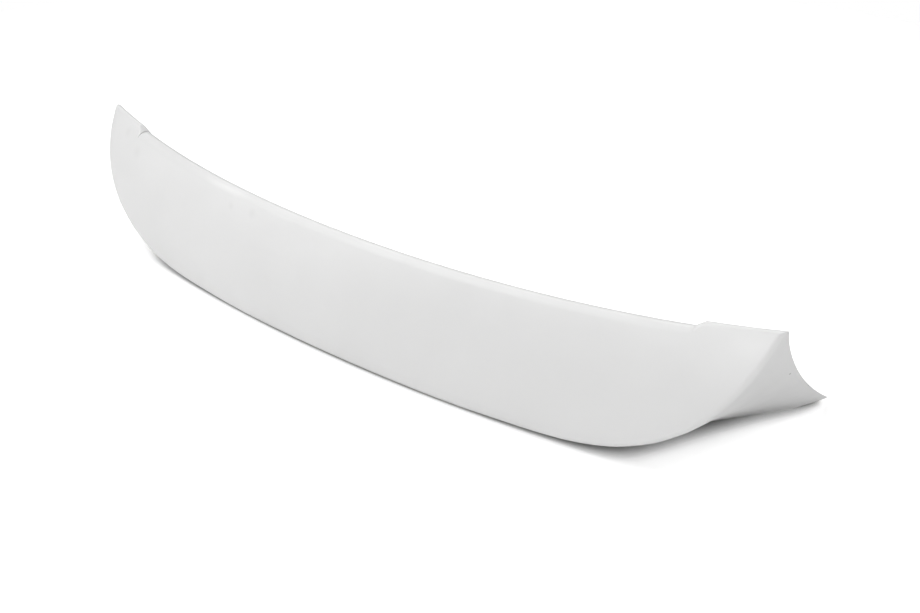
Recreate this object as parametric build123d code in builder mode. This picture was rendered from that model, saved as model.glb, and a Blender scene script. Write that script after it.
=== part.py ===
# Ducktail rear spoiler for a car's boot lid: one moulded shell, open underneath.
# X runs across the car, the broad rear face looks towards -Y, Z is up, and the trimmed rim stands on Z = 0.
import os
from math import atan2, cos, exp, hypot, sin, sqrt
from build123d import *

os.makedirs("parts", exist_ok=True)

# Driving dimensions in millimetres
half_span = 560.0        # middle to the pointed corner at each end
over = 60.0              # how far the blank runs past the corner before the ends are scooped away
wall = 3.0               # thickness of the moulding
rear_wall = 3.4          # the same at the top of the rear face
below = 4.0              # depth below the base at which the hollow's cutter starts
spare = 30.0             # how far a cutter reaches past what it cuts

rear_mid = -149.0        # foot of the rear face in the middle
rear_bow = 64.0          # how far the rear face falls back from the middle to the corner
rear_belly = -0.175      # slope of the rear face at its foot, forward per unit of height
rear_lean = 0.002345     # curvature of the rear face, which leans forward more and more towards the top

edge_mid = 167.0         # height of the trailing edge in the middle
edge_rise = 19.5         # how much higher the trailing edge is at the corner
edge_bend = 0.38         # share of that rise that comes only near the corner
base_cut = 3.0           # depth below the base that is trimmed off flat
edge_peak = 13.0         # without its rounding the trailing edge would be this much higher
end_crest = 4.0          # height of the rounded edge at the ends above its nominal height
mid_crest = -4.0         # the same in the middle stretch, which is trimmed lower
step_half = 467.0        # middle to the step between the two
step_ramp = 10.0         # length of that step's slope
strips = 7               # narrow strips that make up the rounding
bite = 0.5               # how far the rounding's cutter reaches out of the faces that it meets

top_lean = 30.0          # how far forward of the trailing edge the top's first control point lies
top_fall = 0.4           # how far below it, as a share of the top's whole fall
toe_run = 95.0           # how far behind the leading edge the last control point lies in the middle
toe_trim = 20.0          # how much closer it is at the corner
toe_lift = 0.172         # height of that point in the middle, as a share of the fall
toe_swell = 0.09         # how much higher it is at the corner

lead_mid = 87.0          # leading edge in the middle
lead_bow = 72.0          # how much further forward the leading edge is at the ends
lip = 4.0                # blunt height of the leading edge
rim = 12.0               # width of the flat rim behind the leading edge
tip_start = 110.0        # forward of this line the underside rises towards the tips
tip_rise = 0.16          # slope of that rise

crease_radius = 9.0      # rounding between the rear face and the scooped ends
foot = 12.0              # thickness of the rear face at its rolled foot
core_drop = 14.0         # the hollow stops this far under the trailing edge
rear_strips = 5          # strips that make up the hollow's rear side
roof_strips = 8          # strips that make up its roof

end_reach = 567.9        # the scooped end: its rear line, seen from behind, is a part of an oval this far out
end_height = 300.5       # height of that oval
foot_lift = 12.27        # depth of that oval below the base
end_flare = 2.524        # how fast the rear line flares outwards above the base
end_square = 4.208       # how square the corner of that oval is
end_tuck = 36.0          # how far the end's foot sits forward of the rear face
tuck_fade = 5.5          # height over which that tuck dies out
foot_tuck = 6.0          # the same tuck in the middle
foot_roll = 5.5          # how fast the foot rolls out to the rear face there
ridge_x = 558.5          # middle to the ridge between the scooped end and the top
ridge_gap = 4.0          # least distance across between that rear line and the ridge, at the corner
pocket = 10.0            # depth of the hollow in the scooped end
pocket_z = 27.0          # height of its deepest place
swell = 18.0             # how far the end's foot swells outwards instead
swell_fade = 15.0        # height over which that swell dies out
shoulder = 0.95          # how far out the rear line stays straight, as a share of its reach
shoulder_in = 0.23       # how much less far it does at the base
shoulder_fade = 40.0     # height over which that dies out
end_wall = 5.0           # thickness of the scooped end at the top
foot_wall = 9.0          # how much thicker it is at the base
wall_fade = 25.0         # height over which that dies out
heights = (-6, 0, 3, 8, 19, 38, 65, 100, 138, 172, 200, 225)  # closest at the foot, where it rolls out


def bow(x):
    return rear_mid + rear_bow * (x / half_span) ** 2


def rear_y(x, z):
    return bow(x) + rear_belly * z + rear_lean * z * z


def edge_z(x):
    u = (x / half_span) ** 2
    return edge_mid + edge_rise * ((1 - edge_bend) * u + edge_bend * u * u)


def lead_y(x):
    return lead_mid + lead_bow * (x / half_span) ** 2


def mix(a, b, t):
    return (a[0] + (b[0] - a[0]) * t, a[1] + (b[1] - a[1]) * t)


def halves(p, t):
    """Both halves of a cubic Bezier curve cut at t."""
    a, b, c = mix(p[0], p[1], t), mix(p[1], p[2], t), mix(p[2], p[3], t)
    d, e = mix(a, b, t), mix(b, c, t)
    m = mix(d, e, t)
    return [p[0], a, d, m], [m, e, c, p[3]]


def at(p, t):
    return halves(p, t)[0][3]


def find(p, axis, value):
    """Where along a falling or rising cubic Bezier curve a coordinate has a value."""
    low, high = 0.0, 1.0
    rising = p[3][axis] > p[0][axis]
    for _ in range(60):
        mid = (low + high) / 2
        if (at(p, mid)[axis] < value) == rising:
            low = mid
        else:
            high = mid
    return (low + high) / 2


def inset(p, distance):
    """A curve's control points moved inwards, to the right of its run."""
    legs = []
    for a, b in zip(p[:-1], p[1:]):
        dy, dz = b[0] - a[0], b[1] - a[1]
        length = (dy * dy + dz * dz) ** 0.5
        legs.append((dz / length, -dy / length))
    moved = []
    for i, q in enumerate(p):
        n0, n1 = legs[max(i - 1, 0)], legs[min(i, len(legs) - 1)]
        ny, nz = n0[0] + n1[0], n0[1] + n1[1]
        length = (ny * ny + nz * nz) ** 0.5
        moved.append((q[0] + distance * ny / length, q[1] + distance * nz / length))
    return moved


def top_profile(x):
    """The concave top at one station, from the trailing edge to the leading edge, as (y, z) points."""
    u = (x / half_span) ** 2
    high = edge_z(x) + edge_peak
    start = rear_y(x, high)
    toe = lead_y(x)
    drop = high - lip
    return [(start, high),
            (start + top_lean, high - top_fall * drop),
            (toe - toe_run + toe_trim * u, lip + (toe_lift + toe_swell * u) * drop),
            (toe, lip)]


def station(x):
    return Plane((x, 0, 0), x_dir=(0, 1, 0), z_dir=(1, 0, 0))


def rear_curve(x, low, high):
    """The rear face at one station between two heights, as the (y, z) control points of a parabola."""
    start = rear_y(x, low)
    slope = rear_belly + 2 * rear_lean * low
    return [(start, low), (start + slope * (high - low) / 2, (low + high) / 2), (rear_y(x, high), high)]


stations = [i / 4.0 * (half_span + over) for i in range(-4, 5)]

# The body before its ends are scooped: rear face, concave top and flat base, meeting in a sharp trailing edge
with BuildPart() as blank:
    for x in stations:
        top = top_profile(x)
        back = rear_curve(x, -base_cut, top[0][1])
        with BuildSketch(station(x)):
            with BuildLine():
                Bezier(*back)
                Bezier(*top)
                Polyline(top[3], (top[3][0], -base_cut), back[0])
            make_face()
    loft()


def crest_arc(x, crest):
    """The rounded trailing edge at one station, as points of an arc that touches the rear face and the top."""
    z = edge_z(x) + crest
    top = top_profile(x)
    t = find(top, 1, z)
    behind, ahead, lower = rear_y(x, z), at(top, t), at(top, t + 0.02)
    lean = rear_belly + 2 * rear_lean * z
    fall = (lower[0] - ahead[0]) / (ahead[1] - lower[1])
    height = (ahead[0] - behind) / (lean + fall)
    first, last = atan2(lean, -1), atan2(fall, 1)
    middle, spread = (first + last) / 2, cos((first - last) / 2)
    radius = height / (sin(middle) / spread - 1)
    centre = (behind + lean * height - radius / spread * cos(middle),
              z + height - radius / spread * sin(middle))
    turns = [first + (last - first) * i / strips for i in range(strips + 1)]
    return [(centre[0] + radius * cos(a), centre[1] + radius * sin(a)) for a in turns]


def rounding(cuts, ruled=False):
    """The waste above a rounded trailing edge, from its crest's height at some stations."""
    with BuildPart() as waste:
        for x, crest in cuts:
            (first_y, first_z), *arc, (last_y, last_z) = crest_arc(x, crest)
            left, right, high = first_y - spare, last_y + spare, edge_z(x) + spare
            with BuildSketch(station(x)):
                with BuildLine():
                    Polyline((first_y - bite, first_z), *arc, (last_y + bite, last_z), (right, last_z),
                             (right, high), (left, high), (left, first_z), (first_y - bite, first_z))
                make_face()
        loft(ruled=ruled)
    return waste.part


def outline(z):
    """One half of the moulding's outline at a height, seen from above, from the middle round the end.

    Low down it tucks in under the rear face. Higher up only the scooped end cuts into the blank.
    """
    z = max(z, 0.0)
    x = end_reach * (1 - (1 - (z + foot_lift) / end_height) ** end_flare) ** (1 / end_square)
    back = (x, rear_y(x, z) + end_tuck * exp(-z / tuck_fade))
    top = top_profile(ridge_x)
    front = at(top, find(top, 1, z))[0]
    ridge = (max(ridge_x, x + ridge_gap), max(front, back[1] + 6 * ridge_gap))
    dip = swell * exp(-z / swell_fade) - pocket * z / pocket_z * exp(1 - z / pocket_z)
    run = (ridge[0] - back[0], ridge[1] - back[1])
    length = hypot(*run)
    bend = (2 * dip * run[1] / length, -2 * dip * run[0] / length)
    scoop = (back[0] + run[0] / 2 + bend[0], back[1] + run[1] / 2 + bend[1])
    side = [mix(mix(back, scoop, t), mix(scoop, ridge, t), t) for t in (0.0, 0.25, 0.5, 0.75, 1.0)]
    middle = rear_y(0, z) + foot_tuck - foot_roll * sqrt(z)
    bend_x = x * (shoulder - shoulder_in * exp(-z / shoulder_fade))
    rear = [(0, middle),
            (0.58 * bend_x, middle + 0.06 * (back[1] - middle)),
            (bend_x, middle + 0.28 * (back[1] - middle))]
    return rear + side + [(ridge[0] + 12, ridge[1] + 60)]


def rim_width(z):
    """How far inside the outline the hollow stops at a height."""
    return end_wall + foot_wall * exp(-max(z, 0.0) / wall_fade)


def all_round(half, inward):
    """The whole outline from the left end to the right, moved inwards."""
    points = [(-x, y) for x, y in half[:0:-1]] + half
    moved = []
    for i, (x, y) in enumerate(points):
        a, b = points[max(i - 1, 0)], points[min(i + 1, len(points) - 1)]
        dx, dy = b[0] - a[0], b[1] - a[1]
        length = hypot(dx, dy)
        moved.append((x - inward * dy / length, y + inward * dx / length))
    return moved


def scooped(levels, walled):
    """The space inside the outlines at some heights, or inside the wall that follows them."""
    with BuildPart() as space:
        for z in levels:
            line = all_round(outline(z), rim_width(z) if walled else 0.0)
            with BuildSketch(Plane.XY.offset(z)):
                with BuildLine():
                    Spline(*line)
                    Line(line[-1], line[0])
                make_face()
        loft()
    return space.part


# The hollow inside the shell
with BuildPart() as core:
    for x in stations[::2]:
        top = top_profile(x)
        high = edge_z(x) - core_drop
        toe = top[3][0]
        falling = halves(top, find(top, 1, high))[1]
        roof = inset(halves(falling, find(falling, 0, toe - rim))[0], wall)
        high = roof[0][1]
        rises = [high * i / rear_strips for i in range(rear_strips + 1)]
        back = [(rear_y(x, z) + rear_wall + (foot - rear_wall) * exp(-z / wall_fade), z) for z in rises]
        front = [at(roof, i / roof_strips) for i in range(roof_strips + 1)]
        start, end = (back[0][0], -below), (front[-1][0], -below)
        with BuildSketch(station(x)):
            with BuildLine():
                Polyline(start, *back, *front, end, start)
            make_face()
    loft()
    add(scooped(heights[::2] + heights[-1:], True), mode=Mode.INTERSECT)

# The rising underside of the two tips
with BuildPart() as tip_relief:
    with BuildSketch(Plane.YZ):
        with BuildLine():
            Polyline((tip_start, 0), (tip_start + lead_bow, lead_bow * tip_rise),
                     (tip_start + lead_bow, -spare), (tip_start, -spare), (tip_start, 0))
        make_face()
    extrude(amount=half_span + over, both=True)


def is_crease(edge):
    """True for the long edge between the rear face and the tucked-in underside and ends."""
    for t in (0.1, 0.5, 0.9):
        p = edge @ t
        if abs(p.Y - rear_y(p.X, p.Z)) > 1.0 or p.Z < 0.2:
            return False
    return edge.length > 100 and (edge @ 0.5).Z < edge_mid - 20


with BuildPart() as spoiler_shell:
    add(blank.part)
    add(scooped(heights, False), mode=Mode.INTERSECT)
    split(bisect_by=Plane.XY, keep=Keep.TOP)
    fillet([e for e in edges() if is_crease(e)], crease_radius)
    add(rounding([(x, end_crest) for x in stations[::2]]), mode=Mode.SUBTRACT)
    add(rounding([(step_half * i / 2, mid_crest) for i in range(-2, 3)]), mode=Mode.SUBTRACT)
    for side in (-1, 1):
        step = [(side * (step_half - 2), mid_crest + bite), (side * (step_half + step_ramp), end_crest + bite)]
        add(rounding(step, ruled=True), mode=Mode.SUBTRACT)
    add(core.part, mode=Mode.SUBTRACT)
    add(tip_relief.part, mode=Mode.SUBTRACT)

spoiler_shell.part.label = "spoiler_shell"
export_step(spoiler_shell.part, "parts/spoiler_shell.step")
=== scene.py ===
# %% [markdown]
# A ducktail rear spoiler for a car's boot lid: one white shell that stands on its rim. It is taken to be
# gelcoat over glass fibre, as it comes out of its mould and before it is painted. The solid model gives the
# form, and this lesson gives it its surface: a smooth skin, three finishes, a pale floor, soft studio light
# and the photograph's camera.

# %% The frame
import math

import bmesh
import bpy
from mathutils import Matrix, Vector


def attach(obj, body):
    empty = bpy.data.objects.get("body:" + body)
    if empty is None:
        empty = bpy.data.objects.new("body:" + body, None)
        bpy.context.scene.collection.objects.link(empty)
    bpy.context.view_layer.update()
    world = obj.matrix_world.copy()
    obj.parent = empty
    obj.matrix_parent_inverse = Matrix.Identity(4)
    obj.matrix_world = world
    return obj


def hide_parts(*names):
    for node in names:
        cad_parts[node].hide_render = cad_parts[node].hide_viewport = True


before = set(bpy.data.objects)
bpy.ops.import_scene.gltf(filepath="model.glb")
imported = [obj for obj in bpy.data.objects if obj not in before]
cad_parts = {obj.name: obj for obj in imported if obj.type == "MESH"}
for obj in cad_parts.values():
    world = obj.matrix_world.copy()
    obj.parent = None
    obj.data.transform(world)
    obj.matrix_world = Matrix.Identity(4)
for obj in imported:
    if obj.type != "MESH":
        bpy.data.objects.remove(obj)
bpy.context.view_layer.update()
scene = bpy.context.scene

# %% [markdown]
# The skin. The solid arrives as loose triangles, each with its own corners, so light would show every
# facet. It could be modelled again by hand, but then it would drift away from the solid. Here a copy has
# its doubled corners merged.

# %% The skin
MERGE = 2e-6

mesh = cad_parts["spoiler_shell"].data.copy()
mesh.name = "moulded_skin"
mesh.materials.clear()
skin = bmesh.new()
skin.from_mesh(mesh)
loose = len(skin.verts)
bmesh.ops.remove_doubles(skin, verts=skin.verts, dist=MERGE)
bmesh.ops.dissolve_degenerate(skin, edges=skin.edges, dist=MERGE)
print("corners merged:", loose, "to", len(skin.verts))

# %% [markdown]
# The dent. Left of the middle, the photograph has a soft darker patch on the rear face, which is taken as a
# shallow dent about as wide as a hand. A bump in the material could draw it, but then the mesh would not
# have it. So the faces around it are cut finer, and their corners are pushed in, most in the middle and not
# at all at its edge.

# %% The dent
DENT = Vector((-0.112, -0.133, 0.121))
DENT_RADIUS = 0.055
DENT_DEPTH = 0.0019
CUT_RADIUS = 1.4 * DENT_RADIUS
REARWARD = -0.5


def by_the_dent(face):
    """True for the faces of the rear face that the dent reaches."""
    return face.normal.y < REARWARD and (face.calc_center_median() - DENT).length < CUT_RADIUS


cut = {edge for face in skin.faces if by_the_dent(face) for edge in face.edges}
bmesh.ops.subdivide_edges(skin, edges=list(cut), cuts=3, use_grid_fill=True)
bmesh.ops.triangulate(skin, faces=[face for face in skin.faces if len(face.verts) > 3])
skin.normal_update()
inward = {}
for corner in skin.verts:
    share = 1 - (corner.co - DENT).length / DENT_RADIUS
    if share > 0 and corner.normal.y < REARWARD:
        inward[corner] = -DENT_DEPTH * share * share * (3 - 2 * share) * corner.normal
for corner, push in inward.items():
    corner.co += push
print("corners in the dent:", len(inward), "deepest:", round(max(p.length for p in inward.values()), 5))

# %% [markdown]
# Smooth and sharp. The skin is shaded smoothly, and edges stay sharp only where two faces meet at a clear
# angle, as along the ridges at both ends and round the rim.

# %% Smooth and sharp
SHARP = math.radians(32)

for face in skin.faces:
    face.smooth = True
for edge in skin.edges:
    edge.smooth = len(edge.link_faces) == 2 and edge.calc_face_angle(0.0) < SHARP
print("sharp edges:", sum(not edge.smooth for edge in skin.edges))
print("open edges:", sum(edge.is_boundary for edge in skin.edges))

# %% [markdown]
# Inside and outside. The photograph shows only the outer face. On mouldings of this kind the mould gives
# that face its satin skin, the inner face is bare laminate, and the rim is trimmed with a disc. The three
# could be cut apart, but then the shell would have seams. Instead, a flood from one face under the roof
# finds the inner faces: it runs from neighbour to neighbour and stops at the rim.

# %% The finishes' faces
OUTER, RIM, INNER = 0, 1, 2
RIM_HEIGHT = 0.012
FLAT = 1e-5
DOWNWARD = -0.97
TIP_LEAN = 0.1
ROOF_DOWNWARD = -0.3
ROOF_HEIGHT = 0.03
ROOF_MIDDLE = Vector((0, -0.06, 0.1))


def on_rim(face):
    """True for the trimmed faces: those that stand on the floor and those that lift off it at the tips."""
    stands = max(corner.co.z for corner in face.verts) < FLAT
    lifts = face.normal.y > TIP_LEAN and face.calc_center_median().z < RIM_HEIGHT
    return face.normal.z < DOWNWARD and (stands or lifts)


def roof_face():
    """The face of the hollow's roof that is nearest to the middle."""
    facing_down = [f for f in skin.faces if f.normal.z < ROOF_DOWNWARD]
    roof = [f for f in facing_down if f.calc_center_median().z > ROOF_HEIGHT]
    return min(roof, key=lambda f: (f.calc_center_median() - ROOF_MIDDLE).length)


start = roof_face()
reached = {start}
edge_of_flood = [start]
while edge_of_flood:
    face = edge_of_flood.pop()
    for edge in face.edges:
        for other in edge.link_faces:
            if other not in reached and not on_rim(other):
                reached.add(other)
                edge_of_flood.append(other)
for face in skin.faces:
    face.material_index = RIM if on_rim(face) else INNER if face in reached else OUTER
count = [sum(f.material_index == i for f in skin.faces) for i in (OUTER, RIM, INNER)]
print("faces outside, on the rim, inside:", count)

skin.to_mesh(mesh)
skin.free()
shell = bpy.data.objects.new("moulded_shell", mesh)
scene.collection.objects.link(shell)
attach(shell, "root")
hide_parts("spoiler_shell")

# %% [markdown]
# Effects are node groups: built once, with named sockets, and placed in a material with values of its own.
# They could be drawn again in each material, but then every change would have to be made there too. One
# helper makes a group with its sockets, another places one and sets its inputs, and two more add the smooth
# steps and the sums that groups and materials need.

# %% Helpers for groups
KINDS = {"vector": "NodeSocketVector", "value": "NodeSocketFloat"}


def new_group(name, inputs, output):
    """An empty node group, its inner inputs and its one inner output."""
    group = bpy.data.node_groups.new(name, "ShaderNodeTree")
    for label, kind in inputs:
        group.interface.new_socket(label, in_out="INPUT", socket_type=KINDS[kind])
    group.interface.new_socket(output, in_out="OUTPUT", socket_type=KINDS["value"])
    entry = group.nodes.new("NodeGroupInput")
    result = group.nodes.new("NodeGroupOutput")
    return group, entry.outputs, result.inputs[output]


def place(tree, group, vector, **values):
    """A group's node in a material, fed with a place on the surface; returns its output."""
    node = tree.nodes.new("ShaderNodeGroup")
    node.node_tree = group
    tree.links.new(vector, node.inputs["Vector"])
    for label, value in values.items():
        node.inputs[label].default_value = value
    return node.outputs[0]


def step(tree, value, low, high, to_low=0.0, to_high=1.0):
    """A smooth step of a value between two limits; a limit may be a socket."""
    node = tree.nodes.new("ShaderNodeMapRange")
    node.interpolation_type = "SMOOTHSTEP"
    limits = {"From Min": low, "From Max": high, "To Min": to_low, "To Max": to_high}
    tree.links.new(value, node.inputs["Value"])
    for label, limit in limits.items():
        if isinstance(limit, bpy.types.NodeSocket):
            tree.links.new(limit, node.inputs[label])
        else:
            node.inputs[label].default_value = limit
    return node.outputs["Result"]


def calc(tree, operation, *values):
    """One Math node on sockets and numbers; returns its output."""
    node = tree.nodes.new("ShaderNodeMath")
    node.operation = operation
    for socket, value in zip(node.inputs, values):
        if isinstance(value, bpy.types.NodeSocket):
            tree.links.new(value, socket)
        else:
            socket.default_value = value
    return node.outputs[0]


# %% [markdown]
# Cloudiness: nothing on a hand-made moulding is quite even. One soft noise between two limits serves for
# tone, for roughness and for the shallow waves of a skin that shrank as it cured.

# %% Cloudiness
CLOUD_EDGE = (0.3, 0.7)

clouds, given, result = new_group(
    "clouds", [("Vector", "vector"), ("Scale", "value"), ("Low", "value"), ("High", "value")], "Value")
noise = clouds.nodes.new("ShaderNodeTexNoise")
noise.inputs["Detail"].default_value = 2.0
clouds.links.new(given["Vector"], noise.inputs["Vector"])
clouds.links.new(given["Scale"], noise.inputs["Scale"])
clouds.links.new(step(clouds, noise.outputs[0], *CLOUD_EDGE, given["Low"], given["High"]), result)
print("group:", clouds.name, [item.name for item in clouds.interface.items_tree])

# %% [markdown]
# A mark at one place: 1 at its middle and 0 past its radius. The specks, the stains and the painted
# highlight are such marks, with different sizes and colours.

# %% Marks
mark, given, result = new_group(
    "mark", [("Vector", "vector"), ("Place", "vector"), ("Radius", "value")], "Mask")
apart = mark.nodes.new("ShaderNodeVectorMath")
apart.operation = "DISTANCE"
mark.links.new(given["Vector"], apart.inputs[0])
mark.links.new(given["Place"], apart.inputs[1])
mark.links.new(step(mark, apart.outputs["Value"], given["Radius"], 0.0), result)
print("group:", mark.name, [item.name for item in mark.interface.items_tree])

# %% [markdown]
# Glass strands. The laminate is chopped-strand mat: short bundles of glass that lie every way. Single
# strands would be thousands of meshes, and nobody sees them apart. Three noises, each stretched along
# another direction, give the same felted look when the strongest of them wins at each place.

# %% Glass strands
STRAND_TURNS = (0.3, 1.35, 2.4)
STRAND_SHAPE = (1.0, 0.07, 0.11)
STRAND_EDGE = (0.5, 0.72)

strands, given, result = new_group("strands", [("Vector", "vector"), ("Scale", "value")], "Mask")
felt = None
for turn in STRAND_TURNS:
    stretch = strands.nodes.new("ShaderNodeMapping")
    stretch.vector_type = "TEXTURE"
    stretch.inputs["Rotation"].default_value = (0.2 * turn, 0.3 * turn, turn)
    stretch.inputs["Scale"].default_value = STRAND_SHAPE
    strands.links.new(given["Vector"], stretch.inputs["Vector"])
    noise = strands.nodes.new("ShaderNodeTexNoise")
    noise.inputs["Detail"].default_value = 1.0
    strands.links.new(stretch.outputs["Vector"], noise.inputs["Vector"])
    strands.links.new(given["Scale"], noise.inputs["Scale"])
    felt = noise.outputs[0] if felt is None else calc(strands, "MAXIMUM", felt, noise.outputs[0])
strands.links.new(step(strands, felt, *STRAND_EDGE), result)
print("group:", strands.name, [item.name for item in strands.interface.items_tree])

# %% [markdown]
# Every material starts the same way: a Principled shader and the object's own coordinates, in metres.
# Colours are mixed by masks, and heights become small changes of the normal.

# %% Helpers for materials


def new_material(name):
    """A material, its tree, its shader's inputs and the place on the surface."""
    material = bpy.data.materials.new(name)
    material.use_nodes = True
    tree = material.node_tree
    where = tree.nodes.new("ShaderNodeTexCoord")
    return material, tree, tree.nodes["Principled BSDF"].inputs, where.outputs["Object"]


def blend(tree, mask, below, above):
    """A colour mixed from two by a mask; each may be a colour or a socket."""
    node = tree.nodes.new("ShaderNodeMix")
    node.data_type = "RGBA"
    tree.links.new(mask, node.inputs[0])
    for socket, colour in ((node.inputs[6], below), (node.inputs[7], above)):
        if isinstance(colour, bpy.types.NodeSocket):
            tree.links.new(colour, socket)
        else:
            socket.default_value = (*colour, 1)
    return node.outputs[2]


def raise_surface(tree, height, distance, before=None):
    """The normal after a height has been laid on it, after another one if that is given."""
    node = tree.nodes.new("ShaderNodeBump")
    node.inputs["Distance"].default_value = distance
    tree.links.new(height, node.inputs["Height"])
    if before is not None:
        tree.links.new(before, node.inputs["Normal"])
    return node.outputs["Normal"]


# %% [markdown]
# Gelcoat is the white resin that goes into the mould first, so it copies the mould's satin polish. Close to,
# such a skin has clouds of slightly greyer white, shallow waves, a fine peel and pinholes where air was
# caught. A few marks are the photograph's own: faint stains in the left half and on the right end, a grey
# nick at the right step and dark specks on the right end. A long pale band under the trailing edge at the
# left is a painted highlight: lighter colour where the edge's rounding catches light. It is a mark too, on
# coordinates that are turned and shrunk along it.

# %% Gelcoat
WHITE = (0.715, 0.715, 0.713)
GREY_WHITE = (0.69, 0.69, 0.688)
SPECK = (0.16, 0.16, 0.155)
STAIN, STAIN_STRENGTH = (0.62, 0.62, 0.615), 0.35
SPECKS = [((0.5543, 0.0184, 0.1103), 0.0022), ((0.5581, 0.0761, 0.0658), 0.0016)]
STAINS = [
    ((-0.4979, -0.0605, 0.1699), 0.011),
    ((-0.4589, -0.0779, 0.1529), 0.014),
    ((-0.2158, -0.1144, 0.1472), 0.008),
    ((-0.1721, -0.1163, 0.15), 0.01),
    ((0.5429, 0.083, 0.0392), 0.007),
    ((0.5532, 0.1324, 0.0154), 0.012),
    ((0.4644, -0.0576, 0.176), 0.007),
]
PAINTED_HIGHLIGHT = (0.77, 0.77, 0.768)
HIGHLIGHT_FROM, HIGHLIGHT_TO = Vector((-0.2924, -0.0944, 0.1645)), Vector((-0.1759, -0.1055, 0.1629))
HIGHLIGHT_WIDTH = 0.009
HIGHLIGHT_REACH = 0.6
PINHOLE_CELLS = 24.0
PINHOLE_CHOICE = (0.86, 0.9)
PINHOLE_EDGE = (0.02, 0.012)
WAVE_DEPTH, PEEL_DEPTH, PINHOLE_DEPTH = 0.0016, 0.00003, 0.0004

gelcoat, tree, shader, where = new_material("white_gelcoat")
colour = blend(tree, place(tree, clouds, where, Scale=5.0, Low=0.0, High=1.0), WHITE, GREY_WHITE)
for middle, radius in STAINS:
    stain = calc(tree, "MULTIPLY", place(tree, mark, where, Place=middle, Radius=radius), STAIN_STRENGTH)
    colour = blend(tree, stain, colour, STAIN)
# The painted highlight: a pale band laid into the colour under the trailing edge at the left, for light on
# the edge.
along = HIGHLIGHT_TO - HIGHLIGHT_FROM
highlight_band = tree.nodes.new("ShaderNodeMapping")
highlight_band.vector_type = "TEXTURE"
highlight_band.inputs["Location"].default_value = (HIGHLIGHT_FROM + HIGHLIGHT_TO) / 2
highlight_band.inputs["Rotation"].default_value = along.to_track_quat("X", "Z").to_euler()
highlight_band.inputs["Scale"].default_value = (HIGHLIGHT_REACH * along.length, HIGHLIGHT_WIDTH, HIGHLIGHT_WIDTH)
tree.links.new(where, highlight_band.inputs["Vector"])
pale = place(tree, mark, highlight_band.outputs["Vector"], Place=(0, 0, 0), Radius=1.0)
colour = blend(tree, pale, colour, PAINTED_HIGHLIGHT)
cells = tree.nodes.new("ShaderNodeTexVoronoi")
cells.inputs["Scale"].default_value = PINHOLE_CELLS
tree.links.new(where, cells.inputs["Vector"])
chosen = step(tree, cells.outputs["Color"], *PINHOLE_CHOICE)
pinhole = calc(tree, "MULTIPLY", step(tree, cells.outputs["Distance"], *PINHOLE_EDGE), chosen)
for middle, radius in SPECKS:
    pinhole = calc(tree, "MAXIMUM", pinhole, place(tree, mark, where, Place=middle, Radius=radius))
colour = blend(tree, pinhole, colour, SPECK)

tree.links.new(colour, shader["Base Color"])
tree.links.new(place(tree, clouds, where, Scale=30.0, Low=0.38, High=0.5), shader["Roughness"])

waves = place(tree, clouds, where, Scale=9.0, Low=0.0, High=0.6)
normal = raise_surface(tree, waves, WAVE_DEPTH)
peel = place(tree, clouds, where, Scale=320.0, Low=0.0, High=1.0)
normal = raise_surface(tree, peel, PEEL_DEPTH, normal)
skin_height = calc(tree, "SUBTRACT", 1.0, pinhole)
normal = raise_surface(tree, skin_height, PINHOLE_DEPTH, normal)
tree.links.new(normal, shader["Normal"])
shell.data.materials.append(gelcoat)
print("gelcoat nodes:", len(tree.nodes))

# %% [markdown]
# The trimmed rim. A disc leaves a dry, matt cut through white skin and glass, with the strands' ends as
# fine specks.

# %% Trimmed rim
CUT_PALE, CUT_DARK = (0.63, 0.62, 0.58), (0.42, 0.41, 0.37)
CUT_DEPTH = 0.0002

rim, tree, shader, where = new_material("trimmed_rim")
ends = place(tree, clouds, where, Scale=420.0, Low=0.0, High=1.0)
tree.links.new(blend(tree, ends, CUT_PALE, CUT_DARK), shader["Base Color"])
tree.links.new(place(tree, clouds, where, Scale=60.0, Low=0.75, High=0.95), shader["Roughness"])
tree.links.new(raise_surface(tree, ends, CUT_DEPTH), shader["Normal"])
shell.data.materials.append(rim)
print("rim nodes:", len(tree.nodes))

# %% [markdown]
# The laminate inside isn't in the photograph, and is finished as such mouldings have it: glass mat soaked in
# resin and rolled down by hand. It is grey-green where resin lies deep, paler where strands come to the
# top, shiny in patches and rough to the touch.

# %% Laminate
RESIN, GLASS = (0.4, 0.41, 0.35), (0.62, 0.63, 0.58)
STRAND_DEPTH, LUMP_DEPTH = 0.0006, 0.002

laminate, tree, shader, where = new_material("glass_laminate")
fibre = place(tree, strands, where, Scale=26.0)
deep = place(tree, clouds, where, Scale=14.0, Low=0.35, High=1.0)
tree.links.new(blend(tree, calc(tree, "MULTIPLY", fibre, deep), RESIN, GLASS), shader["Base Color"])
tree.links.new(place(tree, clouds, where, Scale=22.0, Low=0.25, High=0.6), shader["Roughness"])
normal = raise_surface(tree, fibre, STRAND_DEPTH)
lumps = place(tree, clouds, where, Scale=16.0, Low=0.0, High=1.0)
tree.links.new(raise_surface(tree, lumps, LUMP_DEPTH, normal), shader["Normal"])
shell.data.materials.append(laminate)
print("laminate nodes:", len(tree.nodes))

# %% [markdown]
# The floor is a plain round sheet of white paper. In the photograph it is burnt out to pure white, but a
# narrow dark line stays where the shell touches it. Lamps strong enough for that would bounce off the floor
# and bleach the shell too. So the sheet glows a little, for the camera only. Where an Ambient Occlusion node
# finds the shell close by, the glow goes and the paper turns grey: a painted contact shadow.

# %% Floor
PAPER, PAINTED_CONTACT_SHADOW = (0.95, 0.95, 0.95), (0.35, 0.35, 0.35)
FLOOR_RADIUS = 1.8
CONTACT_WIDTH = 0.035
CONTACT_DARK, CONTACT_CLEAR = 0.1, 0.6
GLOW = 0.28

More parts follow.
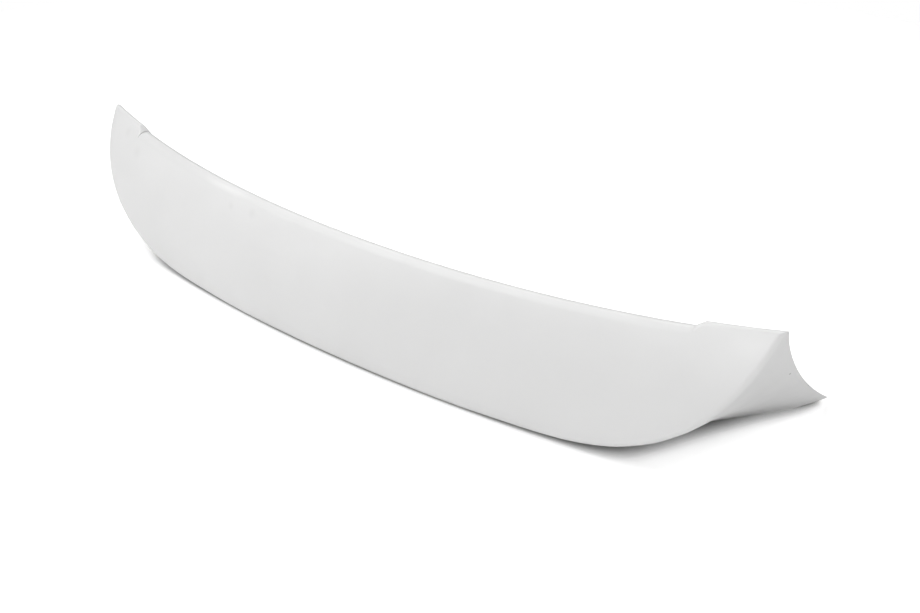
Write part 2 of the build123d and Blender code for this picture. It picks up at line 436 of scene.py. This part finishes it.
sheet = bmesh.new()
bmesh.ops.create_circle(sheet, cap_ends=True, segments=128, radius=FLOOR_RADIUS)
floor_mesh = bpy.data.meshes.new("studio_floor")
sheet.to_mesh(floor_mesh)
sheet.free()
floor = bpy.data.objects.new("studio_floor", floor_mesh)
scene.collection.objects.link(floor)
paper, tree, shader, _ = new_material("white_floor")
nearby = tree.nodes.new("ShaderNodeAmbientOcclusion")
nearby.inputs["Distance"].default_value = CONTACT_WIDTH
# Painted contact shadow: near the shell the floor's colour turns grey and its glow fades.
clear = step(tree, nearby.outputs["AO"], CONTACT_DARK, CONTACT_CLEAR)
tree.links.new(blend(tree, clear, PAINTED_CONTACT_SHADOW, PAPER), shader["Base Color"])
shader["Roughness"].default_value = 0.8
shader["Specular IOR Level"].default_value = 0.1
shader["Emission Color"].default_value = (1, 1, 1, 1)
seen = tree.nodes.new("ShaderNodeLightPath").outputs["Is Camera Ray"]
glow = calc(tree, "MULTIPLY", calc(tree, "MULTIPLY", seen, clear), GLOW)
tree.links.new(glow, shader["Emission Strength"])
floor.data.materials.append(paper)
print("floor nodes:", len(tree.nodes))

# %% [markdown]
# Light. The lamps were placed and set until the shell had the photograph's tones: the rear face evenly lit
# from the camera's side, the left outline and the crest bright, and the right end dark, because it leans
# over and sees little but the floor. Five large softboxes do that, each turned towards the shell. The room
# behind them is nearly dark, but the camera sees it as a white backdrop.

# %% Light
LAMPS = [
    ("left_fill", (-1.9, -1.5, 1.0), (2.0, 1.5), 22.0),
    ("top_left", (-1.2, -0.3, 2.4), (1.6, 1.6), 29.5),
    ("camera_side", (1.3, -1.8, 1.6), (2.0, 1.2), 34.5),
    ("right_top", (1.9, 0.6, 2.2), (1.6, 1.6), 27.0),
    ("back", (-1.5, 2.0, 2.0), (2.0, 1.5), 34.0),
]
AIM = Vector((0, 0, 0.08))
ROOM_LIGHT = 0.03

for name, spot, (width, height), watts in LAMPS:
    lamp = bpy.data.lights.new(name, "AREA")
    lamp.shape = "RECTANGLE"
    lamp.size, lamp.size_y = width, height
    lamp.energy = watts
    box = bpy.data.objects.new(name, lamp)
    box.location = spot
    box.rotation_euler = (Vector(spot) - AIM).to_track_quat("Z", "Y").to_euler()
    scene.collection.objects.link(box)
world = bpy.data.worlds.new("studio")
scene.world = world
world.use_nodes = True
room = world.node_tree
backdrop = room.nodes["Background"].inputs
backdrop["Color"].default_value = (1, 1, 1, 1)
seen = room.nodes.new("ShaderNodeLightPath").outputs["Is Camera Ray"]
room.links.new(calc(room, "MAXIMUM", seen, ROOM_LIGHT), backdrop["Strength"])
scene.view_settings.view_transform = "Standard"
print("lamps:", [name for name, *_ in LAMPS])

# %% [markdown]
# The camera stands behind the car's right corner, about thirty degrees above the floor. It was placed by
# matching the solid's outline to the photograph's.

# %% Camera
AZIMUTH = math.radians(37.747)
ELEVATION = math.radians(29.998)
DISTANCE = 1.42915
SENSOR, LENS = 36, 47.528
TARGET = Vector((0.20758, -0.145, 0.15063))

camera_data = bpy.data.cameras.new("camera")
camera_data.sensor_width = SENSOR
camera_data.lens = LENS
camera = bpy.data.objects.new("camera", camera_data)
scene.collection.objects.link(camera)
level = math.cos(ELEVATION)
away = Vector((math.sin(AZIMUTH) * level, -math.cos(AZIMUTH) * level, math.sin(ELEVATION)))
camera.location = TARGET + DISTANCE * away
camera.rotation_euler = (-away).to_track_quat("-Z", "Y").to_euler()
scene.camera = camera
print("camera at", [round(v, 4) for v in camera.location])
